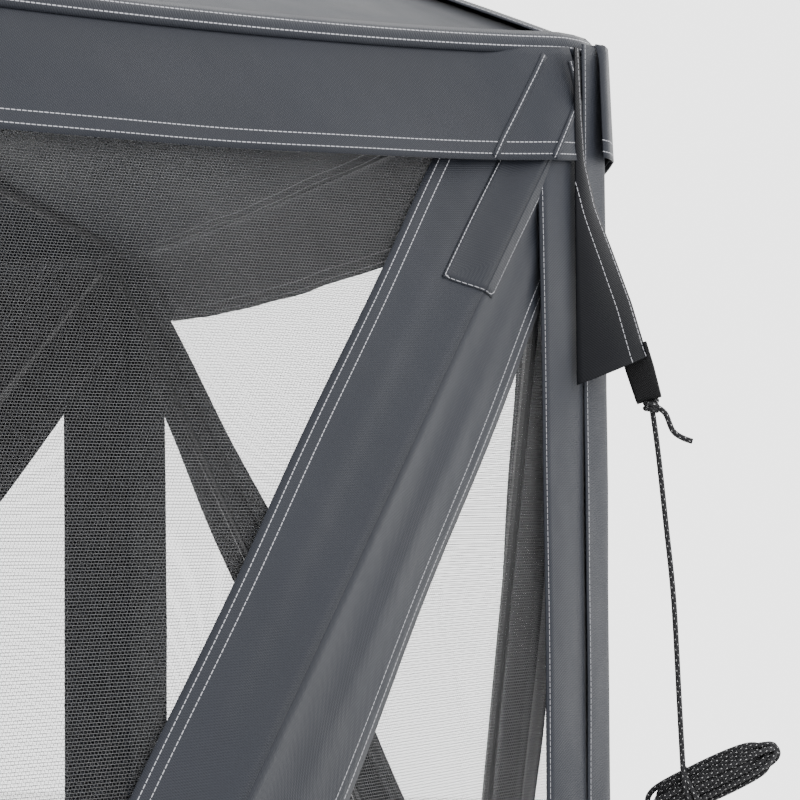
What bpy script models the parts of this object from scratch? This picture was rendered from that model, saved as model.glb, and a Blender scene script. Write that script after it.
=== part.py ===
"""Six-sided pop-up screen house: hubs, flexible poles, screen walls, canopy, guy flaps and one guy rope.

Metres, +Z up. The origin is on the ground at the centre of the floor. Corner 1 is on +X and the corners
go round anticlockwise; wall 1 lies between corners 1 and 2. Each wall is a shallow pyramid that is popped
outwards by a hub in its middle, and four poles run from that hub to the wall's corners.
"""
import bmesh
import bpy
from math import atan2, cos, hypot, pi, radians, sin
from mathutils import Euler, Matrix, Vector

# Driving dimensions
SIDES = 6
SIDE = 1.83                 # corner to corner along one wall
EAVE = 1.93                 # height of the wall
RISE = 0.36                 # apex of the canopy above the eave
POP = 0.22                  # how far a wall's middle stands outside its corners
FABRIC = 0.002              # thickness that stands for every cloth
POLE_RADIUS = 0.0055
FERRULE = 1.15              # tip radius over pole radius
FERRULE_LENGTH = 0.035

# Dimensions worked out from them
STEP = 2 * pi / SIDES
RADIUS = SIDE / 2 / sin(STEP / 2)
APOTHEM = RADIUS * cos(STEP / 2)
HALF = SIDE / 2
MIDDLE = EAVE / 2
DIAGONAL = hypot(HALF, MIDDLE)
SIDE_LEAN = atan2(POP, HALF)

# Canopy and its hanging valance
CANOPY_OVERHANG = 0.016
HEM_OVERHANG = 0.030
VALANCE_DROP = 0.092
CANOPY_RINGS = 6

# Screens, corner sleeves and guy flaps
SCREEN_INSET = 0.012
SLEEVE_LEAF = 0.040
SLEEVE_GAP = 0.0006
SLEEVE_TOP = EAVE - 0.030
FLAP_OUTLINE = (            # out from the corner, below the eave; its tip is the webbing loop
    (0.0045, 0.1000),
    (0.0085, 0.1270),
    (0.0185, 0.1676),
    (0.0320, 0.2087),
    (0.0475, 0.2500),
    (0.0556, 0.2520),
    (0.0556, 0.2780),
    (0.0500, 0.2920),
    (0.0450, 0.2920),
    (0.0360, 0.2790),
    (0.0045, 0.2830),
)

# Hubs and poles
WALL_HUB_RADIUS = 0.050
WALL_HUB_DEPTH = 0.024
WALL_HUB_BACK = 0.015       # plate behind the tip of the wall's pyramid
ROOF_HUB_RADIUS = 0.105
ROOF_HUB_DEPTH = 0.036
ROOF_HUB_TOP = EAVE + RISE - 0.012
PLATE = 0.004
CHANNEL = 0.016
WALL_POLE_BACK = 0.031      # pole's centre line behind the wall's cloth
WALL_POLE_START = 0.045     # from the corner along the diagonal
WALL_POLE_END = 0.034       # from the hub's centre
ROOF_POLE_START = 0.050
ROOF_POLE_END = 0.075
ROOF_POLE_LOW = 0.012
ROOF_POLE_RISE = 0.334
ROOF_POLE_POINTS = 9

# Door in wall 4
DOOR_WALL = 4
DOOR_NEAR = 0.052           # zipped edge, from the corner
DOOR_FAR = 0.520            # hinged edge, from the corner
DOOR_CLEAR = 0.109          # height kept free beside the diagonal
DOOR_GAP = 0.004
SLIDER_FROM_CORNER = 0.034
SLIDER_HEIGHT = 0.200

# Guy rope on corner 1: out from the corner, sideways, below the eave
ROPE_RADIUS = 0.0023
ROPE_ROUTE = (
    (0.0480, 0.000, 0.2945),
    (0.0530, 0.000, 0.3320),
    (0.0590, 0.001, 0.3930),
    (0.0648, 0.001, 0.4550),
    (0.0698, 0.000, 0.5370),
    (0.0722, 0.000, 0.5830),
)
ROPE_STEPS = 7              # points on each stretch between two route points
HANK_OUT = 0.0926
HANK_BELOW = 0.600
HANK_LENGTH = 0.118
HANK_HEIGHT = 0.044
HANK_THICKNESS = 0.046
HANK_TILT = radians(25)
HANK_END_STEPS = 8


def clear_scene():
    for item in list(bpy.data.objects):
        bpy.data.objects.remove(item, do_unlink=True)


def collection(name):
    group = bpy.data.collections.new(name)
    bpy.context.scene.collection.children.link(group)
    return group


def material(name, colour, roughness, metallic=0.0):
    made = bpy.data.materials.new(name)
    made.use_nodes = True
    shader = made.node_tree.nodes["Principled BSDF"]
    shader.inputs["Base Color"].default_value = (*colour, 1.0)
    shader.inputs["Roughness"].default_value = roughness
    shader.inputs["Metallic"].default_value = metallic
    return made


def add_object(name, data, group, finish=None):
    made = bpy.data.objects.new(name, data)
    group.objects.link(made)
    if finish is not None and not data.materials:
        data.materials.append(finish)
    return made


def mesh_from(name, bm):
    data = bpy.data.meshes.new(name)
    bmesh.ops.recalc_face_normals(bm, faces=bm.faces)
    bm.to_mesh(data)
    bm.free()
    return data


def thicken(item, thickness, offset=-1.0):
    shell = item.modifiers.new("thickness", "SOLIDIFY")
    shell.thickness = thickness
    shell.offset = offset
    shell.use_even_offset = True


def place_on_wall(item, wall):
    """Local X runs along the wall, local Y points into the house, and the origin is the wall's foot."""
    angle = STEP * (wall - 0.5)
    item.location = (APOTHEM * cos(angle), APOTHEM * sin(angle), 0.0)
    item.rotation_euler = (0.0, 0.0, angle + pi / 2)


def place_at_corner(item, corner):
    """Local X points out of the house through the corner."""
    angle = STEP * (corner - 1)
    item.location = (RADIUS * cos(angle), RADIUS * sin(angle), 0.0)
    item.rotation_euler = (0.0, 0.0, angle)


def rod(name, points, radius, group, finish, tips=()):
    """A round rod along points; the points whose numbers are in tips are the thicker ferrules."""
    curve = bpy.data.curves.new(name, "CURVE")
    curve.dimensions = "3D"
    curve.bevel_depth = radius
    curve.bevel_resolution = 2
    curve.use_fill_caps = True
    spline = curve.splines.new("POLY")
    spline.points.add(len(points) - 1)
    for number, point in enumerate(points):
        spline.points[number].co = (*point, 1.0)
        spline.points[number].radius = FERRULE if number in tips else 1.0
    return add_object(name, curve, group, finish)


def flat_outline(name, points, thickness, group, finish):
    """A closed flat outline in the object's XY plane, thickness thick about that plane."""
    curve = bpy.data.curves.new(name, "CURVE")
    curve.dimensions = "2D"
    curve.fill_mode = "BOTH"
    curve.extrude = thickness / 2
    spline = curve.splines.new("POLY")
    spline.points.add(len(points) - 1)
    for number, (x, y) in enumerate(points):
        spline.points[number].co = (x, y, 0.0, 1.0)
    spline.use_cyclic_u = True
    return add_object(name, curve, group, finish)


def build_canopy(parts, cloth):
    """Turned in six steps, so that each hip follows the arched roof poles and each panel is flat across."""
    outer = RADIUS + CANOPY_OVERHANG
    profile = []
    for ring in range(CANOPY_RINGS + 1):
        reach = outer * ring / CANOPY_RINGS
        profile.append((reach, 0.0, EAVE + RISE * (1 - (reach / RADIUS) ** 2)))
    profile.append((RADIUS + HEM_OVERHANG, 0.0, EAVE - VALANCE_DROP))
    bm = bmesh.new()
    verts = [bm.verts.new(point) for point in profile]
    for first, second in zip(verts, verts[1:]):
        bm.edges.new((first, second))
    data = bpy.data.meshes.new("canopy")
    bm.to_mesh(data)
    bm.free()
    canopy = add_object("canopy", data, parts, cloth)
    turn = canopy.modifiers.new("six panels", "SCREW")
    turn.axis = "Z"
    turn.angle = 2 * pi
    turn.steps = SIDES
    turn.render_steps = SIDES
    turn.use_merge_vertices = True
    turn.merge_threshold = 0.0001
    turn.use_normal_calculate = True
    thicken(canopy, FABRIC)


def screen_surface(name):
    """A shallow pyramid: the wall's four corners and the tip over its hub."""
    reach = HALF - SCREEN_INSET
    top = EAVE - SCREEN_INSET
    edge = -POP * SCREEN_INSET / HALF
    bm = bmesh.new()
    tip = bm.verts.new((0.0, -POP, MIDDLE))
    border = [
        bm.verts.new((-reach, edge, 0.0)),
        bm.verts.new((reach, edge, 0.0)),
        bm.verts.new((reach, edge, top)),
        bm.verts.new((-reach, edge, top)),
    ]
    for number, corner in enumerate(border):
        bm.faces.new((corner, border[(number + 1) % 4], tip))
    bm.normal_update()
    data = bpy.data.meshes.new(name)
    bm.to_mesh(data)
    bm.free()
    return data


def door_outline(margin):
    """The door's four points as (distance from the corner, height), grown by margin all round."""
    slope = MIDDLE / HALF
    points = []
    for along, outward in ((DOOR_NEAR, -1), (DOOR_FAR, 1)):
        across = along + outward * margin
        half_height = MIDDLE - slope * across - DOOR_CLEAR + 1.4 * margin
        points.append((across, MIDDLE - half_height))
        points.append((across, MIDDLE + half_height))
    return [points[0], points[2], points[3], points[1]]


def door_plate(name, margin, thickness, group, finish):
    """The outline laid into the wall's leaning side triangle, with its origin on the hinged edge."""
    hinge_reach = DOOR_FAR / cos(SIDE_LEAN)
    outline = []
    for along, height in door_outline(margin):
        outline.append((hinge_reach - along / cos(SIDE_LEAN), height))
    plate = flat_outline(name, outline, thickness, group, finish)
    angle = STEP * (DOOR_WALL - 0.5)
    turn = Matrix.Rotation(angle + pi / 2, 4, "Z")
    foot = Vector((APOTHEM * cos(angle), APOTHEM * sin(angle), 0.0))
    hinge = Vector((HALF - DOOR_FAR, -POP * DOOR_FAR / HALF + FABRIC / 2, 0.0))
    plate.location = foot + turn @ hinge
    plate.rotation_euler = Euler((pi / 2, 0.0, angle + pi / 2 + SIDE_LEAN))
    return plate


def to_mesh(item, group):
    """A curve object as a mesh object with its caps welded, in the same place."""
    bpy.context.view_layer.update()
    solid = item.evaluated_get(bpy.context.evaluated_depsgraph_get())
    data = bpy.data.meshes.new_from_object(solid)
    bm = bmesh.new()
    bm.from_mesh(data)
    bmesh.ops.remove_doubles(bm, verts=bm.verts, dist=0.00001)
    bmesh.ops.recalc_face_normals(bm, faces=bm.faces)
    bm.to_mesh(data)
    bm.free()
    name = item.name
    place = item.matrix_world.copy()
    bpy.data.objects.remove(item, do_unlink=True)
    made = add_object(name, data, group)
    made.matrix_world = place
    return made


def as_cutter(item):
    item.hide_render = True
    item.display_type = "WIRE"


def subtract(item, cutter):
    cut = item.modifiers.new("cut " + cutter.name, "BOOLEAN")
    cut.operation = "DIFFERENCE"
    cut.solver = "EXACT"
    cut.object = cutter


def build_screens(parts, cutters, mesh_cloth):
    for wall in range(1, SIDES + 1):
        name = f"wall_{wall}_screen"
        screen = add_object(name, screen_surface(name), parts, mesh_cloth)
        place_on_wall(screen, wall)
        thicken(screen, FABRIC)
        if wall == DOOR_WALL:
            cutter = door_plate("door cutter", DOOR_GAP, 0.040, cutters, None)
            cutter = to_mesh(cutter, cutters)
            as_cutter(cutter)
            subtract(screen, cutter)


def build_door(parts, mesh_cloth, plastic):
    door_plate("door_panel", 0.0, FABRIC, parts, mesh_cloth)
    bm = bmesh.new()
    bmesh.ops.create_cube(bm, size=1.0, matrix=Matrix.Diagonal((0.010, 0.006, 0.022, 1.0)))
    slider = add_object("door_zip_slider", mesh_from("door_zip_slider", bm), parts, plastic)
    bevel = slider.modifiers.new("round edges", "BEVEL")
    bevel.width = 0.0015
    bevel.segments = 2
    angle = STEP * (DOOR_WALL - 0.5)
    turn = Matrix.Rotation(angle + pi / 2, 4, "Z")
    foot = Vector((APOTHEM * cos(angle), APOTHEM * sin(angle), 0.0))
    lift = 0.0085
    spot = Vector((HALF - SLIDER_FROM_CORNER, -POP * SLIDER_FROM_CORNER / HALF - lift, SLIDER_HEIGHT))
    slider.location = foot + turn @ spot
    slider.rotation_euler = (0.0, 0.0, angle + pi / 2 + SIDE_LEAN)


def build_corner_sleeves(parts, cloth):
    """A V of two leaves that follow the leaning side triangles on both sides of a corner."""
    lean = pi / 2 + STEP / 2 - SIDE_LEAN
    faces = []
    for out in (SLEEVE_GAP, SLEEVE_GAP + FABRIC):
        ends = []
        for side in (-1, 1):
            along = Vector((cos(lean), side * sin(lean)))
            normal = Vector((sin(lean), -side * cos(lean)))
            ends.append(along * SLEEVE_LEAF + normal * out)
        faces.append((ends[0], Vector((out / sin(lean), 0.0)), ends[1]))
    inner, outer = faces
    points = [*outer, *reversed(inner)]
    for corner in range(1, SIDES + 1):
        sleeve = flat_outline(f"corner_{corner}_sleeve", points, SLEEVE_TOP, parts, cloth)
        place_at_corner(sleeve, corner)
        sleeve.location.z = SLEEVE_TOP / 2


def build_guy_flaps(parts, cloth):
    """A gusset that stands out of each corner, ending in a loop of webbing for a guy rope."""
    points = [(out, EAVE - below) for out, below in FLAP_OUTLINE]
    for corner in range(1, SIDES + 1):
        flap = flat_outline(f"guy_flap_{corner}", points, FABRIC, parts, cloth)
        place_at_corner(flap, corner)
        flap.rotation_euler.x = pi / 2


def hub_mesh(name, radius, depth, angles):
    """A round plate at Z 0 with a block on it, cut by one channel across the block for each angle."""
    bm = bmesh.new()
    middle = Matrix.Translation((0.0, 0.0, depth / 2))
    bmesh.ops.create_cone(
        bm, cap_ends=True, segments=32, radius1=radius, radius2=radius, depth=depth, matrix=middle
    )
    block = add_object(name, mesh_from(name, bm), bpy.context.scene.collection)
    cutters = []
    for angle in angles:
        bm = bmesh.new()
        place = (
            Matrix.Rotation(angle, 4, "Z")
            @ Matrix.Translation((0.0, 0.0, PLATE + depth / 2))
            @ Matrix.Diagonal((radius * 3, CHANNEL, depth, 1.0))
        )
        bmesh.ops.create_cube(bm, size=1.0, matrix=place)
        cutter = add_object("channel", mesh_from("channel", bm), bpy.context.scene.collection)
        subtract(block, cutter)
        cutters.append(cutter)
    bpy.context.view_layer.update()
    solid = block.evaluated_get(bpy.context.evaluated_depsgraph_get())
    data = bpy.data.meshes.new_from_object(solid)
    for item in (block, *cutters):
        bpy.data.objects.remove(item, do_unlink=True)
    return data


def build_hubs(parts, plastic):
    diagonal = atan2(MIDDLE, HALF)
    wall_data = hub_mesh("wall hub", WALL_HUB_RADIUS, WALL_HUB_DEPTH, (diagonal, -diagonal))
    for wall in range(1, SIDES + 1):
        hub = add_object(f"wall_{wall}_hub", wall_data, parts, plastic)
        place_on_wall(hub, wall)
        angle = STEP * (wall - 0.5)
        out = APOTHEM + POP - WALL_HUB_BACK
        hub.location = (out * cos(angle), out * sin(angle), MIDDLE)
        hub.rotation_euler.x = -pi / 2
    roof_angles = [STEP * number for number in range(SIDES // 2)]
    roof_data = hub_mesh("roof hub", ROOF_HUB_RADIUS, ROOF_HUB_DEPTH, roof_angles)
    hub = add_object("roof_hub", roof_data, parts, plastic)
    hub.location.z = ROOF_HUB_TOP
    hub.rotation_euler.x = pi


def wall_point(wall, along, inward, height):
    """A world point from distances along a wall, into the house and up."""
    angle = STEP * (wall - 0.5)
    turn = Matrix.Rotation(angle + pi / 2, 4, "Z")
    foot = Vector((APOTHEM * cos(angle), APOTHEM * sin(angle), 0.0))
    return foot + turn @ Vector((along, inward, height))


def build_wall_poles(parts, fibreglass):
    """Four poles a wall, each with its origin at its corner end, where it turns as the hub is pushed in."""
    run = DIAGONAL - WALL_POLE_START - WALL_POLE_END
    length = hypot(run, POP * run / DIAGONAL)
    step = FERRULE_LENGTH + 0.001
    marks = (0.0, FERRULE_LENGTH, step, length - step, length - FERRULE_LENGTH, length)
    points = [(mark, 0.0, 0.0) for mark in marks]
    data = None
    for wall in range(1, SIDES + 1):
        for side, side_name in ((-1, "left"), (1, "right")):
            for rise, rise_name in ((-1, "lower"), (1, "upper")):
                ends = []
                for gone in (WALL_POLE_START, DIAGONAL - WALL_POLE_END):
                    left = 1 - gone / DIAGONAL
                    inward = WALL_POLE_BACK - POP * gone / DIAGONAL
                    height = MIDDLE + rise * left * MIDDLE
                    ends.append(wall_point(wall, side * left * HALF, inward, height))
                name = f"wall_{wall}_pole_{rise_name}_{side_name}"
                if data is None:
                    pole = rod(name, points, POLE_RADIUS, parts, fibreglass, tips=(0, 1, 4, 5))
                    data = pole.data
                else:
                    pole = add_object(name, data, parts)
                pole.location = ends[0]
                pole.rotation_euler = (ends[1] - ends[0]).to_track_quat("X", "Z").to_euler()


def build_roof_poles(parts, fibreglass):
    """Six arched poles under the canopy's hips, each with its origin at its corner end."""
    start = RADIUS - ROOF_POLE_START
    reaches = [start, start - FERRULE_LENGTH]
    span = start - 2 * FERRULE_LENGTH - ROOF_POLE_END
    for number in range(ROOF_POLE_POINTS):
        reaches.append(start - FERRULE_LENGTH - 0.001 - span * number / (ROOF_POLE_POINTS - 1))
    reaches += [ROOF_POLE_END + FERRULE_LENGTH - 0.002, ROOF_POLE_END]
    heights = [ROOF_POLE_RISE * (1 - (reach / RADIUS) ** 2) - ROOF_POLE_LOW for reach in reaches]
    points = [(reach - start, 0.0, height - heights[0]) for reach, height in zip(reaches, heights)]
    tips = (0, 1, len(points) - 2, len(points) - 1)
    data = None
    for corner in range(1, SIDES + 1):
        name = f"roof_pole_{corner}"
        if data is None:
            pole = rod(name, points, POLE_RADIUS, parts, fibreglass, tips)
            data = pole.data
        else:
            pole = add_object(name, data, parts)
        angle = STEP * (corner - 1)
        pole.location = (start * cos(angle), start * sin(angle), EAVE + heights[0])
        pole.rotation_euler.z = angle


def smooth_route(route, steps):
    """Points on a smooth curve through the route's points."""
    points = []
    last = len(route) - 1
    for number in range(last):
        before, here, there, after = (
            Vector(route[max(0, min(last, number + shift))]) for shift in (-1, 0, 1, 2)
        )
        for step in range(steps):
            t = step / steps
            bend = 2 * before - 5 * here + 4 * there - after
            twist = 3 * here - before - 3 * there + after
            points.append(here + (there - before) * t / 2 + bend * t * t / 2 + twist * t ** 3 / 2)
    points.append(Vector(route[last]))
    return points


def build_guy_rope(parts, cord):
    route = [(RADIUS + out, side, EAVE - below) for out, side, below in ROPE_ROUTE]
    rod("guy_rope", smooth_route(route, ROPE_STEPS), ROPE_RADIUS, parts, cord)
    half = HANK_LENGTH / 2 - HANK_HEIGHT / 2
    outline = []
    for side in (1, -1):
        for step in range(HANK_END_STEPS + 1):
            turn = -pi / 2 + pi * step / HANK_END_STEPS
            outline.append((side * (half + cos(turn) * HANK_HEIGHT / 2), side * sin(turn) * HANK_HEIGHT / 2))
    hank = flat_outline("guy_rope_hank", outline, HANK_THICKNESS, parts, cord)
    hank.location = (RADIUS + HANK_OUT, 0.0, EAVE - HANK_BELOW)
    hank.rotation_euler = Euler((pi / 2, -HANK_TILT, 0.0), "XYZ")


def main():
    clear_scene()
    parts = collection("screen house")
    cutters = collection("cutters")
    cloth = material("slate cloth", (0.085, 0.093, 0.115), 0.55)
    mesh_cloth = material("screen mesh", (0.03, 0.03, 0.033), 0.8)
    plastic = material("black plastic", (0.02, 0.02, 0.022), 0.45)
    fibreglass = material("fibreglass", (0.03, 0.03, 0.03), 0.4)
    cord = material("guy cord", (0.03, 0.03, 0.03), 0.8)
    build_canopy(parts, cloth)
    build_screens(parts, cutters, mesh_cloth)
    build_door(parts, mesh_cloth, plastic)
    build_corner_sleeves(parts, cloth)
    build_guy_flaps(parts, cloth)
    build_hubs(parts, plastic)
    build_wall_poles(parts, fibreglass)
    build_roof_poles(parts, fibreglass)
    build_guy_rope(parts, cord)


main()
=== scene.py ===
"""Looks of the six-sided pop-up screen house: sewn cloth, insect mesh, guy rope and hubs."""

import bmesh
import bpy
from math import asin, atan2, ceil, cos, exp, hypot, pi, radians, sin
from mathutils import Matrix, Vector


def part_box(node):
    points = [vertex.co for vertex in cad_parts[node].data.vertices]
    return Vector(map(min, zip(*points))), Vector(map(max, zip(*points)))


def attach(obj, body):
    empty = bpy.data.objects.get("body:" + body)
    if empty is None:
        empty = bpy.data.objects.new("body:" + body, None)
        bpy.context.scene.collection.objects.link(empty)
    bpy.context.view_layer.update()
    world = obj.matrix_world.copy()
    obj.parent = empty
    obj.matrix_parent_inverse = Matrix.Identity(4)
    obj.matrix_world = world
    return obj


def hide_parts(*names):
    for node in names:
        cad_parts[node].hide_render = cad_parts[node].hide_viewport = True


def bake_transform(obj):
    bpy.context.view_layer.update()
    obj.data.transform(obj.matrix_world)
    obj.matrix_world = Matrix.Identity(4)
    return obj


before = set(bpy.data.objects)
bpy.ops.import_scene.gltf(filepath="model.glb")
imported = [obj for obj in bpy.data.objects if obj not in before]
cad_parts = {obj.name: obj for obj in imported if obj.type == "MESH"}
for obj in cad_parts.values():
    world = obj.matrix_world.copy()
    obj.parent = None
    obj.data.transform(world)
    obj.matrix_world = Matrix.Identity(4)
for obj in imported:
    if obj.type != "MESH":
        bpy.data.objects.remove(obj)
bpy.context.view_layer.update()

# Sizes of the frame, read from its solids
SIDES = 6
STEP = 2 * pi / SIDES
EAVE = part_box("corner_1_sleeve")[1].z + 0.030
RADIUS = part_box("guy_flap_1")[0].x - 0.0045
APOTHEM = RADIUS * cos(STEP / 2)
HALF = RADIUS * sin(STEP / 2)
MIDDLE = EAVE / 2
DIAGONAL = hypot(HALF, MIDDLE)
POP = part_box("wall_2_screen")[1].y - APOTHEM
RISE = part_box("canopy")[1].z - EAVE

# Cloth
CLOTH = 0.0009              # thickness
EAVE_BOW = 0.050            # how far the eave is drawn in at the middle of a wall
EAVE_DROP = 0.038           # and down
BOW_DEPTH = 0.55            # the bow fades out this far below the eave
VALANCE = 0.094             # how far it hangs below the eave
VALANCE_OUT = 0.007         # it and the next three stand this far out of the wall's surface
STRAP_OUT = 0.003
BAND_OUT = 0.005
PATCH_OUT = 0.0040
SLEEVE_WIDTH = 0.046        # to each side of the corner
BAND_START = 0.032          # the upright band's two edges, from the corner
BAND_END = 0.106
SKIRT_HEIGHT = 0.070
POLE_BULGE = 0.006          # how far the pole inside lifts its strap
STITCH_PITCH = 0.0046

# The zipped door: its wall, and its edges' distances from the corner and from the diagonals
DOOR_WALL = 4
DOOR_NEAR = 0.052
DOOR_FAR = 0.520
DOOR_CLEAR = 0.109


# ---------------------------------------------------------------- camera, lights and floor

def build_camera():
    """Stands outside the house, 2.4 m from corner 1, a little under the eave and looking slightly up."""
    yaw, pitch, roll = -0.219, 0.044, -0.006
    ahead = Vector((sin(yaw) * cos(pitch), cos(yaw) * cos(pitch), sin(pitch)))
    right = Vector((cos(yaw), -sin(yaw), 0.0))
    up = right.cross(ahead)
    side = cos(roll) * right + sin(roll) * up
    top = cos(roll) * up - sin(roll) * right
    data = bpy.data.cameras.new("camera")
    data.sensor_width = 36.0
    data.lens = 131.28
    data.clip_end = 100.0
    camera = bpy.data.objects.new("camera", data)
    bpy.context.scene.collection.objects.link(camera)
    place = Matrix((side, top, -ahead)).transposed().to_4x4()
    place.translation = Vector((2.192, -2.375, EAVE - 0.397))
    camera.matrix_world = place
    bpy.context.scene.camera = camera


def area_light(name, place, target, size, power):
    data = bpy.data.lights.new(name, "AREA")
    data.shape = "DISK"
    data.size = size
    data.energy = power
    lamp = bpy.data.objects.new(name, data)
    bpy.context.scene.collection.objects.link(lamp)
    lamp.location = place
    lamp.rotation_euler = (Vector(target) - Vector(place)).to_track_quat("-Z", "Y").to_euler()


def build_studio():
    world = bpy.data.worlds.new("studio")
    world.use_nodes = True
    background = world.node_tree.nodes["Background"]
    background.inputs["Color"].default_value = (1.0, 1.0, 1.0, 1.0)
    background.inputs["Strength"].default_value = 3.2
    bpy.context.scene.world = world
    area_light("key", (-1.5, -5.5, 4.5), (0.8, -1.0, 1.4), 2.5, 120.0)
    area_light("side", (5.5, -1.0, 3.4), (1.8, 0.0, 1.6), 2.0, 60.0)
    bm = bmesh.new()
    bmesh.ops.create_grid(bm, x_segments=1, y_segments=1, size=14.0)
    data = bpy.data.meshes.new("floor")
    bm.to_mesh(data)
    bm.free()
    floor = bpy.data.objects.new("floor", data)
    floor.location.z = -0.002
    bpy.context.scene.collection.objects.link(floor)
    data.materials.append(plain_material("floor", (0.80, 0.80, 0.79), 0.9))


# ---------------------------------------------------------------- materials

class Nodes:
    """Short ways to add and join shader nodes."""

    def __init__(self, name):
        self.made = bpy.data.materials.new(name)
        self.made.use_nodes = True
        self.tree = self.made.node_tree
        self.shader = self.tree.nodes["Principled BSDF"]

    def add(self, kind, **settings):
        node = self.tree.nodes.new(kind)
        for key, value in settings.items():
            setattr(node, key, value)
        return node

    def link(self, output, target):
        self.tree.links.new(output, target)

    def fill(self, socket, value):
        if isinstance(value, (int, float, tuple)):
            socket.default_value = value
        else:
            self.link(value, socket)

    def math(self, operation, first, second=0.0, third=None):
        node = self.add("ShaderNodeMath", operation=operation)
        self.fill(node.inputs[0], first)
        self.fill(node.inputs[1], second)
        if third is not None:
            self.fill(node.inputs[2], third)
        return node.outputs[0]

    def mix(self, factor, first, second):
        node = self.add("ShaderNodeMix", data_type="RGBA")
        self.fill(node.inputs[0], factor)
        self.fill(node.inputs[6], first)
        self.fill(node.inputs[7], second)
        return node.outputs[2]

    def noise(self, vector, scale, detail=3.0):
        node = self.add("ShaderNodeTexNoise")
        node.inputs["Scale"].default_value = scale
        node.inputs["Detail"].default_value = detail
        self.link(vector, node.inputs["Vector"])
        return node.outputs[0]

    def bump(self, height, strength, distance, under=None):
        node = self.add("ShaderNodeBump")
        node.inputs["Strength"].default_value = strength
        node.inputs["Distance"].default_value = distance
        self.link(height, node.inputs["Height"])
        if under is not None:
            self.link(under, node.inputs["Normal"])
        return node.outputs[0]


def plain_material(name, colour, roughness):
    nodes = Nodes(name)
    nodes.shader.inputs["Base Color"].default_value = (*colour, 1.0)
    nodes.shader.inputs["Roughness"].default_value = roughness
    return nodes.made


def near(nodes, value, centre, width):
    """1 where value is within width of centre, else 0."""
    return nodes.math("COMPARE", value, centre, width)


def cloth_material(name, colour, rows, sheen=0.04, shine=0.13):
    """Woven polyester. UV holds metres along the piece and in from its nearest long edge; rows are the
    distances from that edge at which a row of white stitches runs."""
    nodes = Nodes(name)
    place = nodes.add("ShaderNodeTexCoord")
    uv = nodes.add("ShaderNodeSeparateXYZ")
    nodes.link(place.outputs["UV"], uv.inputs[0])
    along, across = uv.outputs[0], uv.outputs[1]
    cloud = nodes.noise(place.outputs["Object"], 6.0, 4.0)
    grain = nodes.noise(place.outputs["Object"], 900.0, 1.0)
    dark = tuple(c * 0.55 for c in colour) + (1.0,)
    light = tuple(c * 1.50 for c in colour) + (1.0,)
    # Colour tone: the fine grain is the fibre's own tone. The large soft cloud patches, lighter and
    # darker, are painted sheen standing in for the cloth's uneven sheen.
    grain_and_painted_sheen = nodes.math("MULTIPLY_ADD", grain, 0.5, nodes.math("MULTIPLY", cloud, 0.5))
    base = nodes.mix(grain_and_painted_sheen, dark, light)
    twill = nodes.math("SINE", nodes.math("MULTIPLY", nodes.math("ADD", along, across), 2 * pi / 0.0026))
    warp = nodes.math("SINE", nodes.math("MULTIPLY", along, 2 * pi / 0.0017))
    weave = nodes.math("MULTIPLY_ADD", twill, 0.6, nodes.math("MULTIPLY", warp, 0.4))
    stitched = None
    for row in rows:
        line = near(nodes, across, row, 0.00036)
        stitched = line if stitched is None else nodes.math("MAXIMUM", stitched, line)
    crumple = nodes.bump(nodes.noise(place.outputs["Object"], 13.0, 2.0), 0.30, 0.010)
    surface = nodes.bump(weave, 0.30, 0.0004, crumple)
    if stitched is not None:
        beat = nodes.math("FRACT", nodes.math("DIVIDE", along, STITCH_PITCH))
        gate = nodes.math("LESS_THAN", beat, 0.78)
        stitched = nodes.math("MULTIPLY", stitched, gate)
        base = nodes.mix(stitched, base, (0.28, 0.28, 0.30, 1.0))
        surface = nodes.bump(stitched, 0.5, 0.0006, surface)
    nodes.link(base, nodes.shader.inputs["Base Color"])
    rough = nodes.math("MULTIPLY_ADD", cloud, 0.2, 0.38)
    nodes.link(rough, nodes.shader.inputs["Roughness"])
    nodes.link(surface, nodes.shader.inputs["Normal"])
    nodes.shader.inputs["Sheen Weight"].default_value = sheen
    nodes.shader.inputs["Sheen Roughness"].default_value = 0.4
    nodes.shader.inputs["Specular IOR Level"].default_value = shine
    return nodes.made


def net_material():
    """Knitted insect mesh: a brick grid of holes between black threads, from the UV in metres."""
    nodes = Nodes("insect mesh")
    place = nodes.add("ShaderNodeTexCoord")
    uv = nodes.add("ShaderNodeSeparateXYZ")
    nodes.link(place.outputs["UV"], uv.inputs[0])
    pitch_x, pitch_y = 0.0030, 0.0022
    row = nodes.math("DIVIDE", uv.outputs[1], pitch_y)
    shift = nodes.math("MULTIPLY", nodes.math("MODULO", nodes.math("FLOOR", row), 2.0), 0.5)
    column = nodes.math("ADD", nodes.math("DIVIDE", uv.outputs[0], pitch_x), shift)
    across = nodes.math("ABSOLUTE", nodes.math("SUBTRACT", nodes.math("FRACT", column), 0.5))
    down = nodes.math("ABSOLUTE", nodes.math("SUBTRACT", nodes.math("FRACT", row), 0.5))
    inside_x = nodes.math("LESS_THAN", across, 0.44)
    inside_y = nodes.math("LESS_THAN", down, 0.42)
    hole = nodes.math("MULTIPLY", inside_x, inside_y)
    alpha = nodes.math("MULTIPLY_ADD", hole, -0.97, 0.99)
    nodes.link(alpha, nodes.shader.inputs["Alpha"])
    tone = nodes.noise(place.outputs["Object"], 40.0)
    nodes.link(nodes.mix(tone, (0.016, 0.016, 0.017, 1.0), (0.03, 0.03, 0.032, 1.0)),
               nodes.shader.inputs["Base Color"])
    nodes.shader.inputs["Roughness"].default_value = 0.7
    return nodes.made


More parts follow.
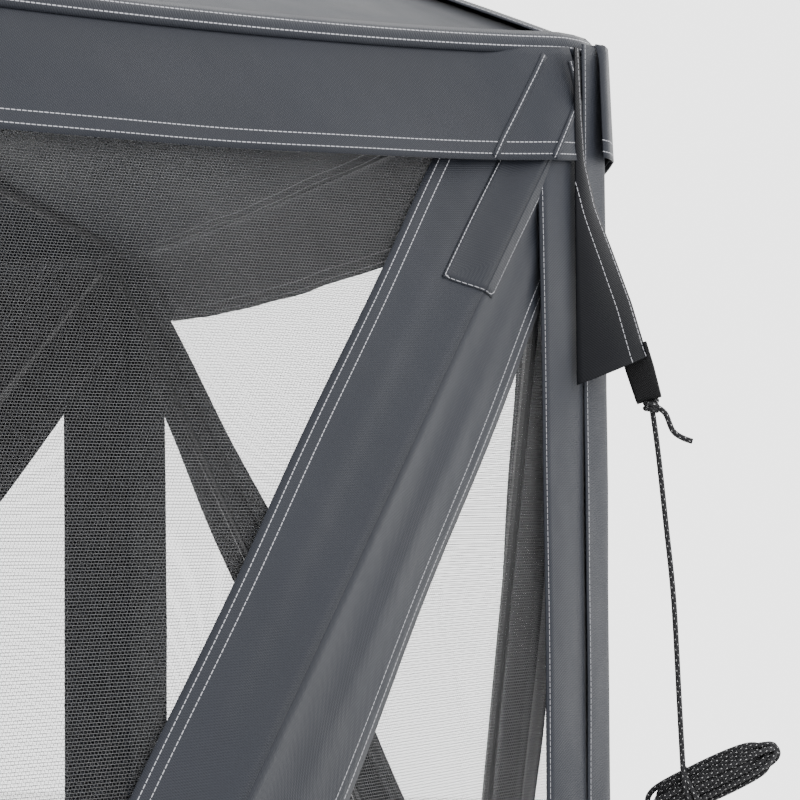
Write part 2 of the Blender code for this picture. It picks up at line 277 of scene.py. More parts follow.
def webbing_material():
    """Black ribbed webbing."""
    nodes = Nodes("webbing")
    place = nodes.add("ShaderNodeTexCoord")
    uv = nodes.add("ShaderNodeSeparateXYZ")
    nodes.link(place.outputs["UV"], uv.inputs[0])
    ribs = nodes.math("SINE", nodes.math("MULTIPLY", uv.outputs[1], 2 * pi / 0.0022))
    picks = nodes.math("SINE", nodes.math("MULTIPLY", uv.outputs[0], 2 * pi / 0.0016))
    weave = nodes.math("MULTIPLY", ribs, picks)
    nodes.link(nodes.bump(weave, 0.6, 0.0006), nodes.shader.inputs["Normal"])
    nodes.link(nodes.mix(weave, (0.003, 0.003, 0.0035, 1.0), (0.014, 0.014, 0.015, 1.0)),
               nodes.shader.inputs["Base Color"])
    nodes.shader.inputs["Roughness"].default_value = 0.75
    nodes.shader.inputs["Specular IOR Level"].default_value = 0.15
    return nodes.made


def rope_material():
    """Black braided cord with white reflective flecks, from the UV: metres along and turns round."""
    nodes = Nodes("braided cord")
    place = nodes.add("ShaderNodeTexCoord")
    uv = nodes.add("ShaderNodeSeparateXYZ")
    nodes.link(place.outputs["UV"], uv.inputs[0])
    along = nodes.math("DIVIDE", uv.outputs[0], 0.0085)
    one = nodes.math("FRACT", nodes.math("ADD", nodes.math("MULTIPLY", uv.outputs[1], 2.0), along))
    two = nodes.math("FRACT", nodes.math("SUBTRACT", nodes.math("MULTIPLY", uv.outputs[1], 2.0), along))
    strands = nodes.math("MULTIPLY", nodes.math("SINE", nodes.math("MULTIPLY", one, 4 * pi)),
                         nodes.math("SINE", nodes.math("MULTIPLY", two, 4 * pi)))
    fleck = nodes.math("MULTIPLY", nodes.math("LESS_THAN", one, 0.20), nodes.math("LESS_THAN", two, 0.22))
    base = nodes.mix(nodes.noise(place.outputs["Object"], 500.0), (0.005, 0.005, 0.006, 1.0),
                     (0.028, 0.028, 0.030, 1.0))
    nodes.link(nodes.mix(fleck, base, (0.42, 0.42, 0.42, 1.0)), nodes.shader.inputs["Base Color"])
    nodes.link(nodes.bump(strands, 0.8, 0.0006), nodes.shader.inputs["Normal"])
    nodes.shader.inputs["Roughness"].default_value = 0.65
    nodes.shader.inputs["Specular IOR Level"].default_value = 0.15
    return nodes.made


def moulded_material(name, colour, roughness):
    """Moulded plastic or glass-fibre rod with a fine grain."""
    nodes = Nodes(name)
    place = nodes.add("ShaderNodeTexCoord")
    grain = nodes.noise(place.outputs["Object"], 350.0)
    dark = tuple(c * 0.75 for c in colour) + (1.0,)
    light = tuple(c * 1.3 for c in colour) + (1.0,)
    nodes.link(nodes.mix(grain, dark, light), nodes.shader.inputs["Base Color"])
    nodes.link(nodes.bump(grain, 0.12, 0.0004), nodes.shader.inputs["Normal"])
    nodes.shader.inputs["Roughness"].default_value = roughness
    return nodes.made


SLATE = (0.0090, 0.0105, 0.0150)
DARK = (0.0025, 0.0028, 0.0040)
MAT = {
    "strap": cloth_material("strap cloth", SLATE, (0.0055, 0.0140)),
    "band": cloth_material("band cloth", tuple(c * 1.08 for c in SLATE), (0.0050,)),
    "roof": cloth_material("canopy cloth", SLATE, (0.0035, 0.0125)),
    "valance": cloth_material("valance cloth", SLATE, (0.0050, 0.0145)),
    "patch": cloth_material("patch cloth", tuple(c * 0.92 for c in SLATE), (0.0015,)),
    "flap": cloth_material("flap cloth", DARK, (0.0030, 0.0210), sheen=0.0, shine=0.06),
    "net": net_material(),
    "webbing": webbing_material(),
    "rope": rope_material(),
    "plastic": moulded_material("black plastic", (0.02, 0.02, 0.022), 0.42),
    "rod": moulded_material("glass-fibre rod", (0.022, 0.022, 0.024), 0.35),
}


# ---------------------------------------------------------------- mesh helpers

def add_piece(name, verts, faces, uvs, finish):
    """A mesh object; uvs has one pair a vertex, in metres."""
    data = bpy.data.meshes.new(name)
    data.from_pydata([tuple(v) for v in verts], [], faces)
    layer = data.uv_layers.new(name="UVMap")
    for loop in data.loops:
        layer.data[loop.index].uv = uvs[loop.vertex_index]
    data.materials.append(finish)
    data.shade_smooth()
    piece = bpy.data.objects.new(name, data)
    bpy.context.scene.collection.objects.link(piece)
    return piece


class Sheets:
    """Gathers grids of cloth into one piece."""

    def __init__(self):
        self.verts, self.faces, self.uvs = [], [], []

    def grid(self, point, uv, rows, columns, flip=False):
        start = len(self.verts)
        for i in range(rows + 1):
            for j in range(columns + 1):
                s, t = i / rows, j / columns
                self.verts.append(point(s, t))
                self.uvs.append(uv(s, t))
        for i in range(rows):
            for j in range(columns):
                a = start + i * (columns + 1) + j
                quad = (a, a + 1, a + columns + 2, a + columns + 1)
                self.faces.append(quad[::-1] if flip else quad)

    def make(self, name, finish, thickness=CLOTH):
        piece = add_piece(name, self.verts, self.faces, self.uvs, finish)
        if thickness:
            shell = piece.modifiers.new("cloth", "SOLIDIFY")
            shell.thickness = thickness
            shell.offset = 0.0
        return piece


def mix(first, second, share):
    return first + (second - first) * share


# ---------------------------------------------------------------- the walls' shape

def wall_axes(wall):
    angle = STEP * (wall - 0.5)
    out = Vector((cos(angle), sin(angle), 0.0))
    return out * APOTHEM, Vector((-sin(angle), cos(angle), 0.0)), out


def standing_out(x, z):
    """How far the popped cloth stands outside the wall's plane."""
    share = min((HALF - abs(x)) / HALF, (EAVE - z) / MIDDLE, z / MIDDLE)
    return POP * max(0.0, share)


def eave_bow(x):
    return max(0.0, 1 - (x / HALF) ** 2)


def eave_drop(x):
    return EAVE_DROP * max(0.0, 1 - (x / HALF) ** 2) ** 0.8


def wall_point(wall, x, z, out=0.0):
    """A point of the wall's cloth, x along the wall from its middle and z up, moved out by out."""
    foot, along, outward = wall_axes(wall)
    fade = max(0.0, 1 - (EAVE - z) / BOW_DEPTH) ** 2
    bow = eave_bow(x) * fade
    reach = standing_out(x, z) - EAVE_BOW * bow + out
    return foot + along * x + outward * reach + Vector((0.0, 0.0, z - eave_drop(x) * fade))


def ripple(a, b, seed):
    """A small, smooth unevenness, in -1 to 1."""
    waves = sin(a * 9.1 + seed) + sin(a * 3.7 - b * 21.0 + seed * 2.3) + sin(b * 33.0 + a * 5.2 + seed)
    return waves / 3


def strap_half_width(along, to_side):
    if to_side:
        return min(0.108, 0.066 + 0.058 * along)
    return 0.090 - 0.020 * min(1.0, along)


TRIANGLES = {
    # name: (corners as (x sign, z sign), middle of the outer edge as (x, z))
    "top": (((-1, 1), (1, 1)), (0.0, EAVE)),
    "bottom": (((-1, -1), (1, -1)), (0.0, 0.0)),
    "left": (((-1, -1), (-1, 1)), (-HALF, MIDDLE)),
    "right": (((1, -1), (1, 1)), (HALF, MIDDLE)),
}


def strap_place(along, perp, x_sign, z_sign):
    """From metres along a diagonal and square to it, positive towards the side edge, to x and z."""
    from_side = (along * HALF - perp * MIDDLE) / DIAGONAL
    from_end = (along * MIDDLE + perp * HALF) / DIAGONAL
    x = x_sign * (HALF - from_side)
    z = EAVE - from_end if z_sign > 0 else from_end
    return x, z


def strap_relief(wall, x_sign, along, across, half):
    """Height of a strap's cloth over its flat lie: a swell over the pole, and soft lengthwise folds."""
    swell = POLE_BULGE * exp(-(across / 0.018) ** 2)
    fold = 0.0036 * ripple(along * 2.2, across, wall + x_sign) * (across / half)
    crease = 0.0042 * exp(-((across - 0.55 * half) / 0.010) ** 2) * sin(along * 4.0 + wall)
    return swell + fold + crease


def half_strap(sheets, wall, side, x_sign, z_sign):
    """The half of a diagonal strap that lies on one triangle, from under the valance to the hub."""
    to_side = side in ("left", "right")
    sign = 1 if to_side else -1

    def spot(s, t):
        along = s * DIAGONAL
        half = strap_half_width(along, to_side)
        if wall == DOOR_WALL and side == "right":
            half = min(half, 0.070)
        end = 0.02 if to_side else 0.0
        across = t * half
        limit = max(0.0, (along - end) * (HALF / MIDDLE if to_side else MIDDLE / HALF))
        return along, min(across, limit), half

    def point(s, t):
        along, across, half = spot(s, t)
        x, z = strap_place(along, sign * across, x_sign, z_sign)
        return wall_point(wall, x, z, STRAP_OUT + strap_relief(wall, x_sign, along, across, half))

    def uv(s, t):
        along, across, half = spot(s, t)
        return along, half - across

    sheets.grid(point, uv, 60, 10, flip=(x_sign * z_sign * sign) > 0)


def pocket_patch(sheets, wall, side, x_sign, z_sign):
    """A stitched patch over the pole's pocket, half on each side of the diagonal."""
    to_side = side in ("left", "right")
    sign = 1 if to_side else -1
    width = 0.014 if to_side else 0.035
    start, end = 0.110, 0.290

    def point(s, t):
        across = t * width
        along = mix(start, end, s) - 0.5 * sign * across
        x, z = strap_place(along, sign * across, x_sign, z_sign)
        half = strap_half_width(along, to_side)
        return wall_point(wall, x, z, PATCH_OUT + strap_relief(wall, x_sign, along, across, half))

    def uv(s, t):
        return s * (end - start) + t * width, min((1 - t) * width, (1 - s) * (end - start))

    sheets.grid(point, uv, 24, 8, flip=(x_sign * z_sign * sign) > 0)


def edge_band(sheets, wall, x_sign):
    """The upright band beside a corner."""
    def point(s, t):
        z = mix(0.0, EAVE - 0.02, s)
        from_side = mix(BAND_START, BAND_END, t)
        over_strap = 0.0045 * (exp(-((EAVE - z) / 0.22) ** 2) + exp(-(z / 0.22) ** 2))
        swell = over_strap + 0.0015 * sin(pi * t) + 0.0006 * ripple(z * 3, t * 0.2, wall)
        return wall_point(wall, x_sign * (HALF - from_side), z, BAND_OUT + swell)

    def uv(s, t):
        return mix(0.0, EAVE - 0.02, s), (1 - t) * (BAND_END - BAND_START)

    sheets.grid(point, uv, 48, 6, flip=x_sign > 0)


def skirt(sheets, wall):
    """The solid hem along the ground."""
    def point(s, t):
        x = mix(-HALF + 0.02, HALF - 0.02, s)
        z = mix(0.001, SKIRT_HEIGHT, t)
        return wall_point(wall, x, z, 0.0022 + 0.001 * ripple(x * 2, z, wall))

    def uv(s, t):
        return s * 2 * HALF, (1 - t) * SKIRT_HEIGHT

    sheets.grid(point, uv, 64, 4, flip=True)


def triangle_net(wall, side):
    """One triangle of insect mesh between two diagonals and the wall's edge."""
    corners = TRIANGLES[side][0]
    ends = [Vector((sx * (HALF - 0.004), EAVE if sz > 0 else 0.0)) for sx, sz in corners]
    hub = Vector((0.0, MIDDLE))
    sheets = Sheets()

    def flat(s, t):
        return mix(mix(ends[0], ends[1], t), hub, s * 0.985)

    def point(s, t):
        spot = flat(s, t)
        belly = 16 * s * (1 - s) ** 2 * t * (1 - t) * 0.010
        return wall_point(wall, spot.x, spot.y, -belly)

    def uv(s, t):
        spot = flat(s, t)
        return spot.x, spot.y

    sheets.grid(point, uv, 16, 24, flip=side in ("bottom", "right"))
    net = sheets.make(f"wall_{wall}_{side}_net", MAT["net"], 0.0)
    area = HALF * MIDDLE
    size = (2 * HALF, MIDDLE) if side in ("top", "bottom") else (EAVE, HALF)
    return net, size, area


def door_half(from_side):
    """Half the door panel's height at a distance from its corner."""
    return MIDDLE - from_side * MIDDLE / HALF - DOOR_CLEAR


def door_side_nets():
    """The mesh round the door's opening: a frame of strips, and the triangle between it and the hub."""
    frame_net, inner = Sheets(), Sheets()

    def field(near, far, low, high):
        def flat(s, t):
            from_side = mix(near, far, s)
            return HALF - from_side, MIDDLE + mix(low(from_side), high(from_side), t)

        return lambda s, t: wall_point(DOOR_WALL, *flat(s, t)), flat

    def top(from_side):
        return MIDDLE - from_side * MIDDLE / HALF

    def foot(from_side):
        return -top(from_side)

    frame_net.grid(*field(0.004, DOOR_NEAR, foot, top), 2, 40)
    frame_net.grid(*field(DOOR_NEAR, DOOR_FAR, door_half, top), 16, 3)
    frame_net.grid(*field(DOOR_NEAR, DOOR_FAR, foot, lambda u: -door_half(u)), 16, 3)
    inner.grid(*field(DOOR_FAR, HALF - 0.014, foot, top), 14, 20)
    strips = frame_net.make("door_frame_net", MAT["net"], 0.0)
    net = inner.make("wall_4_right_net", MAT["net"], 0.0)
    reach, half = HALF - DOOR_FAR, MIDDLE * (1 - DOOR_FAR / HALF)
    return strips, net, (2 * half, reach), half * reach


def hang_on_hub(piece, middle):
    """Bakes the piece's placement into its mesh."""
    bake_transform(piece)


def build_wall(wall):
    for side, (corners, middle) in TRIANGLES.items():
        by_door = wall == DOOR_WALL and side == "right"
        if by_door:
            strips, net, size, area = door_side_nets()
            hang_on_hub(strips, middle)
        else:
            net, size, area = triangle_net(wall, side)
        straps, bands = Sheets(), Sheets()
        for x_sign, z_sign in corners:
            half_strap(straps, wall, side, x_sign, z_sign)
        strap = straps.make(f"wall_{wall}_{side}_straps", MAT["strap"])
        patches = Sheets()
        for x_sign, z_sign in corners:
            if z_sign > 0:
                pocket_patch(patches, wall, side, x_sign, z_sign)
        made = [net, strap]
        if patches.verts:
            made.append(patches.make(f"wall_{wall}_{side}_patch", MAT["patch"]))
        if side in ("left", "right"):
            if not by_door:
                edge_band(bands, wall, corners[0][0])
                made.append(bands.make(f"wall_{wall}_{side}_band", MAT["band"]))
        if side == "bottom":
            skirt(bands, wall)
            made.append(bands.make(f"wall_{wall}_skirt", MAT["band"]))
        for piece in made:
            hang_on_hub(piece, middle)
        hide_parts(f"wall_{wall}_screen")


# ---------------------------------------------------------------- corners

def build_corner_sleeve(corner):
    """The V of cloth that covers the corner, over the ends of both walls' bands."""
    angle = STEP * (corner - 1)
    turn = Matrix.Rotation(angle, 3, "Z")
    lean = pi / 2 + STEP / 2 - asin(POP / hypot(POP, HALF))
    sheets = Sheets()
    width = SLEEVE_WIDTH

    def point(s, t):
        z = mix(0.0, EAVE - 0.004, s)
        across = (t - 0.5) * 2 * width
        side = 1 if across >= 0 else -1
        soft = (hypot(abs(across), 0.006) - 0.006)
        along = Vector((cos(lean), side * sin(lean), 0.0)) * soft
        out = 0.0075 + 0.0006 * ripple(z * 4, across * 3, corner)
        normal = Vector((sin(lean), -side * cos(lean) * abs(across) / hypot(across, 0.006), 0.0))
        local = along + normal * out + Vector((0.0, 0.0, z))
        return turn @ (Vector((RADIUS, 0.0, 0.0)) + local)

    def uv(s, t):
        return s * EAVE, width - abs(t - 0.5) * 2 * width

    sheets.grid(point, uv, 48, 20)
    sleeve = sheets.make(f"corner_{corner}_cloth", MAT["band"])
    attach(sleeve, "root")
    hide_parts(f"corner_{corner}_sleeve")


def at_corner(corner, out, side, z):
    turn = Matrix.Rotation(STEP * (corner - 1), 3, "Z")
    return turn @ Vector((RADIUS + out, side, z))


# outer edge of the flap: out from the corner, to the side, below the eave
FLAP_EDGE = ((-0.0050, -0.054, 0.010), (-0.0037, -0.051, 0.0624), (-0.0020, -0.047, 0.100),
             (0.0040, -0.034, 0.136), (0.0165, -0.020, 0.174), (0.0295, -0.008, 0.2136),
             (0.0397, 0.000, 0.2513), (0.0420, 0.000, 0.2570))
FLAP_ROOT = (-0.0071, -0.0626)      # its sewn edge: out from the corner and to the side
FLAP_BOTTOM = 0.283                 # and that edge's lower end, below the eave


def build_flap(corner):
    """The dark gusset that hangs out of the corner's slit, with its webbing loop."""
    sheets = Sheets()
    last = len(FLAP_EDGE) - 1

    def outer(s):
        k = min(last - 1, int(s * last))
        f = s * last - k
        return [mix(FLAP_EDGE[k][n], FLAP_EDGE[k + 1][n], f) for n in (0, 1, 2)]

    def point(s, t):
        reach, side, below = outer(s)
        below += (FLAP_BOTTOM - FLAP_EDGE[-1][2]) * s * (1 - t)
        bend = 4 * t * (1 - t)
        out = mix(FLAP_ROOT[0], reach, t) + 0.0040 * bend * s
        sway = mix(FLAP_ROOT[1], side, t) - 0.0060 * bend * s + 0.0020 * sin(s * 9 + t * 3) * t * s
        return at_corner(corner, out, sway, EAVE - below)

    def uv(s, t):
        reach, side, below = outer(s)
        return below, (1 - t) * hypot(reach - FLAP_ROOT[0], side - FLAP_ROOT[1])

    sheets.grid(point, uv, 48, 14)
    flap = sheets.make(f"flap_{corner}_gusset", MAT["flap"], 0.0012)
    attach(flap, "root")
    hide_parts(f"guy_flap_{corner}")
    build_loop(corner)


def build_loop(corner):
    """Webbing folded into a loop at the flap's tip and sewn down on both faces of the cloth."""
    top = Vector((0.0295, 0.0, -0.2480))
    tip = Vector((0.0425, 0.0, -0.2930))
    run = (tip - top).normalized()
    square = Vector((-run.z, 0.0, run.x))
    half, radius = 0.0115, 0.0030
    length = (tip - top).length - radius
    sheets = Sheets()

    def path(s):
        arc = pi * radius
        gone = s * (2 * length + arc)
        if gone < length:
            return gone, radius
        if gone < length + arc:
            turn = (gone - length) / radius
            return length + radius * sin(turn), radius * cos(turn)
        return 2 * length + arc - gone, -radius

    def point(s, t):
        down, side = path(s)
        pinch = 1 - 0.16 * max(0.0, down / length - 0.45)
        spread = (t - 0.5) * 2 * half * pinch
        close = 0.45 + 0.55 * min(1.0, down / (0.5 * length))
        local = top + run * down + square * spread
        return at_corner(corner, local.x, side * close, EAVE + local.z)

    def uv(s, t):
        return s * (2 * length + pi * radius), t * 2 * half

    sheets.grid(point, uv, 40, 8)
    loop = sheets.make(f"flap_{corner}_loop", MAT["webbing"], 0.0016)
    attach(loop, "root")


# ---------------------------------------------------------------- canopy

def hip(corner, share):
    """A point of the canopy's hip above a corner, share 0 at the top and 1 at the eave."""
    reach = share * (RADIUS - 0.002)
    height = EAVE + 0.004 + RISE * (1 - share ** 2) - 0.004 * share - 0.005 * share ** 8
    return at_corner(corner, reach - RADIUS, 0.0, height)


def roof_point(wall, share, across):
    first, second = hip(wall, share), hip(wall % SIDES + 1, share)
    point = mix(first, second, across)
    belly = 4 * across * (1 - across)
    outward = wall_axes(wall)[2]
    point = point - outward * (EAVE_BOW * belly * share ** 3)
    sag = EAVE_DROP * belly ** 0.8 * share ** 3 + 0.020 * belly * share * (1 - share) * 2
    return point - Vector((0.0, 0.0, sag))


def build_canopy():
    top = Vector((0.0, 0.0, EAVE + RISE))
    for wall in range(1, SIDES + 1):
        panel = Sheets()

        def point(s, t, wall=wall):
            wave = 0.0022 * ripple(t * 6.0, s * 0.4, wall) * (4 * t * (1 - t)) * s
            return roof_point(wall, s, t) + Vector((0.0, 0.0, wave))

        def uv(s, t):
            return t * 2 * HALF * s, (1 - s) * hypot(APOTHEM, RISE)

        panel.grid(point, uv, 40, 32)
        roof = panel.make(f"canopy_panel_{wall}", MAT["roof"])
        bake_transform(roof)
        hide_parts("canopy")
    for corner in range(1, SIDES + 1):
        build_hip_seam(corner)
    cap = Sheets()

    def cap_point(s, t):
        reach, turn = 0.16 * s, 2 * pi * t
        height = top.z + 0.0085 - 0.30 * reach * reach - 0.001 * s
        return Vector((reach * cos(turn), reach * sin(turn), height))

    cap.grid(cap_point, lambda s, t: (t * 1.0, (1 - s) * 0.16), 10, 48, flip=True)
    patch = cap.make("canopy_top_patch", MAT["valance"])
    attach(patch, "roof_hub")


def build_hip_seam(corner):
    """The folded seam that joins two canopy panels above a corner."""
    angle = STEP * (corner - 1)
    tangent = Vector((-sin(angle), cos(angle), 0.0))
    width = 0.017
    seam = Sheets()

    def point(s, t):
        share = mix(0.05, 1.0, s)
        side = (t - 0.5) * 2
        fall = abs(side) * width * (RISE * 2 * share / RADIUS) * 0.55
        lift = Vector((0.0, 0.0, 0.0050 - fall - 0.0025 * side * side))
        return hip(corner, share) + tangent * side * width + lift

    def uv(s, t):
        return s * RADIUS, (1 - abs(t - 0.5) * 2) * width

    seam.grid(point, uv, 60, 6, flip=True)
    piece = seam.make(f"canopy_hip_seam_{corner}", MAT["band"])
    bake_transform(piece)


VALANCE_SEAMS = (((0.0745, 0.007), (0.1550, 0.092)), ((0.0480, 0.043), (0.0920, 0.092)),
                 ((0.0470, 0.012), (0.0475, 0.043)))


def build_valance(wall):
    """The strip that hangs from the eave along one wall, and the stitched eave binding above it."""
    foot, along, outward = wall_axes(wall)
    before = wall_axes((wall - 2) % SIDES + 1)
    sheets, binding = Sheets(), Sheets()
    ends = HALF - 0.003
    start, arc, stop = -(HALF + 0.0230), 0.0090, HALF - 0.0440

    def hang(x, down, out):
        fade = eave_bow(x)
        clear = max(0.0, standing_out(x, EAVE - down) + 0.004 * down / VALANCE)
        reach = clear - EAVE_BOW * fade * (1 - down / BOW_DEPTH) ** 2 + out
        level = Vector((0.0, 0.0, EAVE - eave_drop(x) - down - 0.001))
        if x >= -HALF:
            return foot + along * x + outward * reach + level
        past = -HALF - x
        reach += POP * min(max(0.0, past - arc) / HALF, down / MIDDLE)
        corner = foot - along * HALF
        turned = min(1.0, past / arc)
        normal = Matrix.Rotation(-STEP * turned, 3, "Z") @ outward
        return corner + normal * reach - before[1] * max(0.0, past - arc) + level

    def cloth_out(x, down):
        share = down / VALANCE
        inside = max(0.0, min(1.0, (HALF - abs(x)) * 9))
        wave = 0.0050 * ripple(x * 3.0, down * 2.0, wall * 1.7) * share * inside
        near_end = exp(-((HALF - abs(x)) / 0.10) ** 2)
        pull = 0.0140 * sin(x * 95 + down * 60) * near_end * share * (1 - share)
        over_sleeve = 0.0050 * max(0.0, min(1.0, 2.8 - (HALF - abs(x)) / 0.05))
        return VALANCE_OUT + 0.002 * inside + wave + pull * inside + over_sleeve

    def point(s, t):
        x, down = mix(start, stop, s), t * VALANCE
        return hang(x, down, cloth_out(x, down))

    def uv(s, t):
        return mix(start, stop, s), (1 - t) * VALANCE

    sheets.grid(point, uv, 150, 14, flip=True)
    strip = sheets.make(f"valance_{wall}", MAT["valance"])
    seams = Sheets()
    for (u_a, d_a), (u_b, d_b) in VALANCE_SEAMS:
        a, b = Vector((HALF - u_a, d_a)), Vector((HALF - u_b, d_b))
        square = Vector((-(b - a).y, (b - a).x)).normalized() * 0.0030

        def seam(s, t, a=a, b=b, square=square):
            spot = mix(a, b, s) + square * (t - 0.5) * 2
            return hang(spot.x, spot.y, cloth_out(spot.x, spot.y) + 0.0007)

        length = (b - a).length

        def seam_uv(s, t, length=length):
            return s * length, 0.0050 + 0.003 * (t - 0.5) * 2

        seams.grid(seam, seam_uv, 16, 4, flip=True)
    seam_piece = seams.make(f"valance_{wall}_seams", MAT["valance"])
    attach(seam_piece, "root")

    def edge(s, t):
        x = mix(-ends, ends, s)
        fade = eave_bow(x)
        tuck = max(0.0, 1 - (HALF - abs(x)) / 0.06) ** 2
        reach = VALANCE_OUT + 0.0055 + 0.002 * sin(pi * t) - 0.010 * t * t
        reach = reach - EAVE_BOW * fade - 0.011 * tuck
        rise = mix(-0.006, 0.013, t) - eave_drop(x) - 0.006 * tuck
        return foot + along * x + outward * reach + Vector((0.0, 0.0, EAVE + rise))

    binding.grid(edge, lambda s, t: (s * 2 * ends, 0.016 * (1 - abs(t - 0.5))), 90, 5)
    eave = binding.make(f"eave_binding_{wall}", MAT["roof"])
    for piece in (strip, eave):
        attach(piece, "root")


# ---------------------------------------------------------------- guy rope

ROPE = 0.0023               # radius
ROPE_LENGTH = 2.5           # aimed for: easing the path takes about 0.1 m off it
ROPE_IN = 0.004             # the loop's end hangs this much nearer the corner than its solid
ROUTE = ((0.0480, 0.000, 0.2945), (0.0530, 0.000, 0.3320), (0.0590, 0.001, 0.3930),
         (0.0648, 0.001, 0.4550), (0.0698, 0.000, 0.5370), (0.0722, 0.000, 0.5830))
# the knot's free end, from the top of the rope
TAIL_ROUTE = ((0.004, 0.0, -0.004), (0.012, -0.002, -0.010), (0.018, -0.003, -0.024),
              (0.026, -0.003, -0.030), (0.034, -0.003, -0.033))


def smooth_route(route, steps):
    """A curve through every point of a route, with this many steps between two of them."""
    points = []
    last = len(route) - 1
    for number in range(last):
        before, here, there, after = (
            Vector(route[max(0, min(last, number + shift))]) for shift in (-1, 0, 1, 2)
        )
        for step in range(steps):
            t = step / steps
            bend = 2 * before - 5 * here + 4 * there - after
            twist = 3 * here - before - 3 * there + after
            points.append(here + (there - before) * t / 2 + bend * t * t / 2 + twist * t ** 3 / 2)
    points.append(Vector(route[last]))
    return points


def tube(name, points, radius, finish, sides=10):
    """A round tube along points, with UV metres along and turns round."""
    verts, faces, uvs = [], [], []
    gone = 0.0
    up = Vector((0.0, 1.0, 0.0))
    for number, point in enumerate(points):
        ahead = points[min(number + 1, len(points) - 1)] - points[max(number - 1, 0)]
        ahead.normalize()
        up = (up - ahead * up.dot(ahead)).normalized()
        side = ahead.cross(up)
        if number:
            gone += (point - points[number - 1]).length
        for turn in range(sides):
            angle = 2 * pi * turn / sides
            verts.append(point + (up * cos(angle) + side * sin(angle)) * radius)
            uvs.append((gone, turn / sides * 2))
    rings = len(points)
    for ring in range(rings - 1):
        for turn in range(sides):
            a = ring * sides + turn
            b = ring * sides + (turn + 1) % sides
            faces.append((a, b, b + sides, a + sides))
    faces.append(tuple(range(sides))[::-1])
    faces.append(tuple(range((rings - 1) * sides, rings * sides)))
    return add_piece(name, verts, faces, uvs, finish)


def route_length(points):
    """Metres along a row of points."""
    return sum((b - a).length for a, b in zip(points, points[1:]))


WAIST_AT = -0.024           # where along the hank the rope arrives and wraps it


def hank_points(centre, tilt, hanging):
    """A wrap round the hank's waist, then long loops, each in a plane turned on from the last one's."""
    run, bend = 0.074, 0.0142
    waist, wraps, pitch = 0.0190, 1.5, 0.0056
    lean = Matrix.Rotation(-tilt, 3, "Y")
    local = []
    for number in range(41):
        turn = wraps * number / 40
        angle = pi + 2 * pi * turn
        local.append(Vector((WAIST_AT + pitch * turn, waist * cos(angle), waist * sin(angle))))
    left_off, from_x = local[-1], pi + 2 * pi * wraps
    for number in range(1, 19):
        share = number / 18
        angle = from_x + 1.25 * sin(share * pi / 2)
        reach = mix(waist, bend, share * share * (3 - 2 * share))
        x = mix(left_off.x, 0.029, share ** 1.6)
        local.append(Vector((x, reach * cos(angle), reach * sin(angle))))
    spread = atan2(local[-1].z, local[-1].y)
    wrapped = route_length(local)
    rest = ROPE_LENGTH - hanging - wrapped
    turns = rest / (2 * run + 2 * pi * bend - 0.003)
    count = ceil(turns * 48)
    for number in range(1, count + 1):
        total = turns * number / count
        phase = 2 * pi * (0.185 + total)
        plane = spread + 2 * pi * total * 0.0525
        reach = bend * (1 + 0.11 * sin(total * 4.1))
        stretch = 0.006 * sin(total * 2.63 + 1.0) + 0.004 * sin(total * 5.1)
        swing = max(-1.0, min(1.0, 1.3 * cos(phase)))
        x = (run / 2 + stretch) * (1.5 * swing - 0.5 * swing ** 3) + reach * 0.9 * cos(phase)
        across = reach * sin(phase)
        fade = min(1.0, total / 0.12)
        across = mix(bend, across, fade * fade * (3 - 2 * fade))
        local.append(Vector((x, across * cos(plane), across * sin(plane))))
    return [centre + lean @ p for p in local]


def even_path(points, gap, rounds):
    """The same path in equal steps, with its kinks eased out."""
    even, left = [points[0].copy()], gap
    for a, b in zip(points, points[1:]):
        length, done = (b - a).length, 0.0
        while length - done >= left:
            done += left
            even.append(a + (b - a) * (done / length))
            left = gap
        left -= length - done
    for _ in range(rounds):
        eased = [(a + b * 2 + c) / 4 for a, b, c in zip(even, even[1:], even[2:])]
        even = [even[0]] + eased + [even[-1]]
    return even


def build_rope():
    """The guy rope with its hank, and the knot and free end at its top."""
    route = [Vector((RADIUS + out - ROPE_IN, side, EAVE - below)) for out, side, below in ROUTE]
    low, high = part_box("guy_rope_hank")
    centre = (low + high) / 2
    route[-2][1] = -0.009
    hanging = smooth_route(route[:-1], 9)
    turns = hank_points(centre, radians(25), route_length(hanging) + 0.044)
    joint = smooth_route([hanging[-9], hanging[-1], turns[0], turns[2]], 10)[11:20]
    path = even_path(hanging + joint + turns, 0.0025, 14)
    rope = tube("guy_rope_cord", path, ROPE, MAT["rope"])
    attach(rope, "root")
    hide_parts("guy_rope", "guy_rope_hank")
    top = Vector(route[0])
    knot_points = []
    for number in range(33):
        turn = 2 * pi * number / 16
        lie = Vector((0.0048 * cos(turn), 0.0048 * sin(turn), 0.0010 - 0.0042 * number / 16))
        knot_points.append(top + lie)
    knot = tube("guy_rope_knot", knot_points, ROPE * 0.95, MAT["rope"], 8)
    tail_route = [top + Vector(p) for p in TAIL_ROUTE]
    tail = tube("guy_rope_tail", smooth_route(tail_route, 5), ROPE, MAT["rope"], 8)
    for piece in (knot, tail):
        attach(piece, "root")
    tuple(route[0])
    round(route_length(path), 3)


# ---------------------------------------------------------------- hubs, poles and door

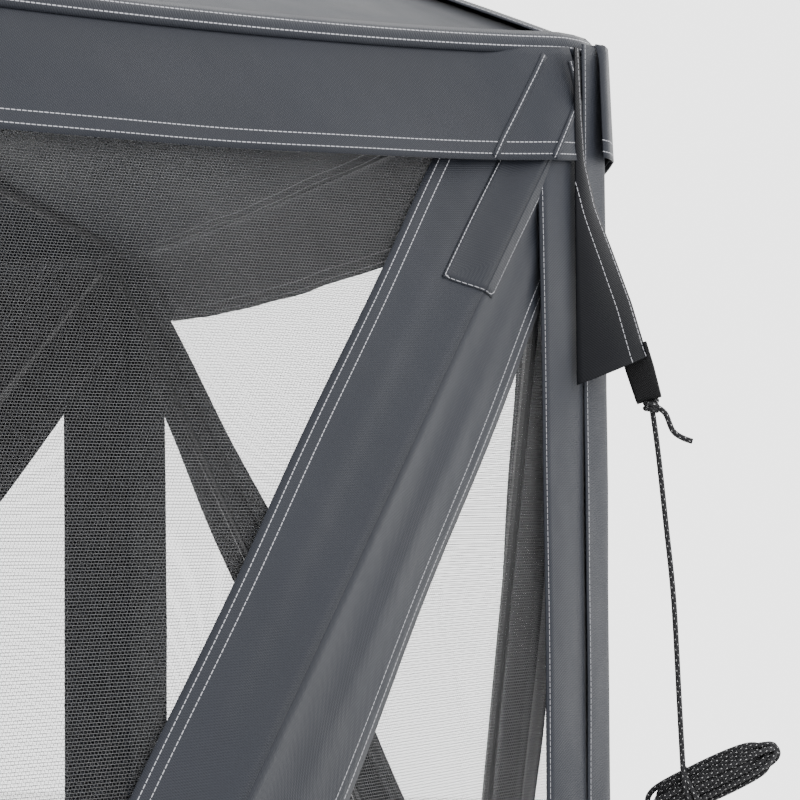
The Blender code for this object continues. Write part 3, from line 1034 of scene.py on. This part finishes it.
def build_hub_covers():
    """The round patch and pull strap outside each wall's hub."""
    for wall in range(1, SIDES + 1):
        foot, along, outward = wall_axes(wall)
        sheets, pull = Sheets(), Sheets()

        def point(s, t):
            reach, turn = 0.085 * s, 2 * pi * t
            x, z = reach * cos(turn), reach * sin(turn)
            out = min(POP - 0.012, standing_out(x, MIDDLE + z))
            return foot + along * x + outward * (out + 0.0072) + Vector((0.0, 0.0, MIDDLE + z))

        sheets.grid(point, lambda s, t: (t * 0.53, (1 - s) * 0.085), 10, 40, flip=True)
        patch = sheets.make(f"wall_{wall}_hub_patch", MAT["valance"])

        def pull_point(s, t):
            arch = 0.016 * sin(pi * s)
            z = mix(-0.055, 0.055, s)
            spot = foot + along * (t - 0.5) * 0.024 + outward * (POP - 0.004 + arch)
            return spot + Vector((0.0, 0.0, MIDDLE + z))

        pull.grid(pull_point, lambda s, t: (s * 0.12, t * 0.024), 24, 6, flip=True)
        strap = pull.make(f"wall_{wall}_pull_strap", MAT["webbing"], 0.0016)
        for piece, slot in ((patch, "cloth"), (strap, "cord")):
            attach(piece, f"wall_{wall}_hub")


def dress_frame():
    """Finishes for the frame's own solids."""
    for name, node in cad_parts.items():
        if "pole" in name:
            finish = MAT["rod"]
        elif "hub" in name or "slider" in name:
            finish = MAT["plastic"]
        elif name == "door_panel":
            finish = MAT["net"]
        else:
            continue
        node.data.materials.clear()
        node.data.materials.append(finish)
        if "hub" in name:
            edges = node.modifiers.new("soft edges", "BEVEL")
            edges.width = 0.0012
            edges.segments = 2


def build_door():
    """The zipped panel's net, its cloth border and the zip's chain."""
    foot, along, outward = wall_axes(DOOR_WALL)
    net, border = Sheets(), Sheets()

    def spot(from_side, share):
        half = door_half(from_side)
        return from_side, mix(-half, half, share)

    def place(from_side, z, out):
        reach = POP * from_side / HALF + out
        return foot + along * (HALF - from_side) + outward * reach + Vector((0.0, 0.0, MIDDLE + z))

    def net_point(s, t):
        return place(*spot(mix(DOOR_NEAR, DOOR_FAR, s), t), 0.001)

    net.grid(net_point, lambda s, t: spot(mix(DOOR_NEAR, DOOR_FAR, s), t), 20, 30)
    panel = net.make("door_net", MAT["net"], 0.0)
    width = 0.030
    corners = [spot(DOOR_NEAR, 0), spot(DOOR_FAR, 0), spot(DOOR_FAR, 1), spot(DOOR_NEAR, 1)]
    middle = Vector((0.24, 0.0))
    for number in range(4):
        a, b = Vector(corners[number]), Vector(corners[(number + 1) % 4])

        def point(s, t, a=a, b=b):
            outer = mix(a, b, s)
            inner = outer + (middle - outer).normalized() * width
            edge = mix(outer, inner, t)
            return place(edge.x, edge.y, 0.0035)

        length = (b - a).length
        border.grid(point, lambda s, t, length=length: (s * length, t * width), 30, 3)
    tape = border.make("door_border", MAT["band"])
    for piece, slot in ((panel, "mesh"), (tape, "cloth")):
        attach(piece, "door_panel")
    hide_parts("door_panel")
    teeth = Sheets()

    def zip_point(s, t):
        return place(mix(0.0435, 0.0505, t), mix(-0.80, 0.80, s), 0.0075 - 0.0012 * abs(t - 0.5))

    teeth.grid(zip_point, lambda s, t: (s * 1.6, t * 0.007), 60, 4)
    chain = teeth.make("door_zip_chain", MAT["webbing"])
    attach(chain, "root")


build_camera()
build_studio()
build_rope()
build_canopy()
for number in range(1, SIDES + 1):
    build_wall(number)
    build_valance(number)
    build_corner_sleeve(number)
    build_flap(number)
build_hub_covers()
build_door()
dress_frame()
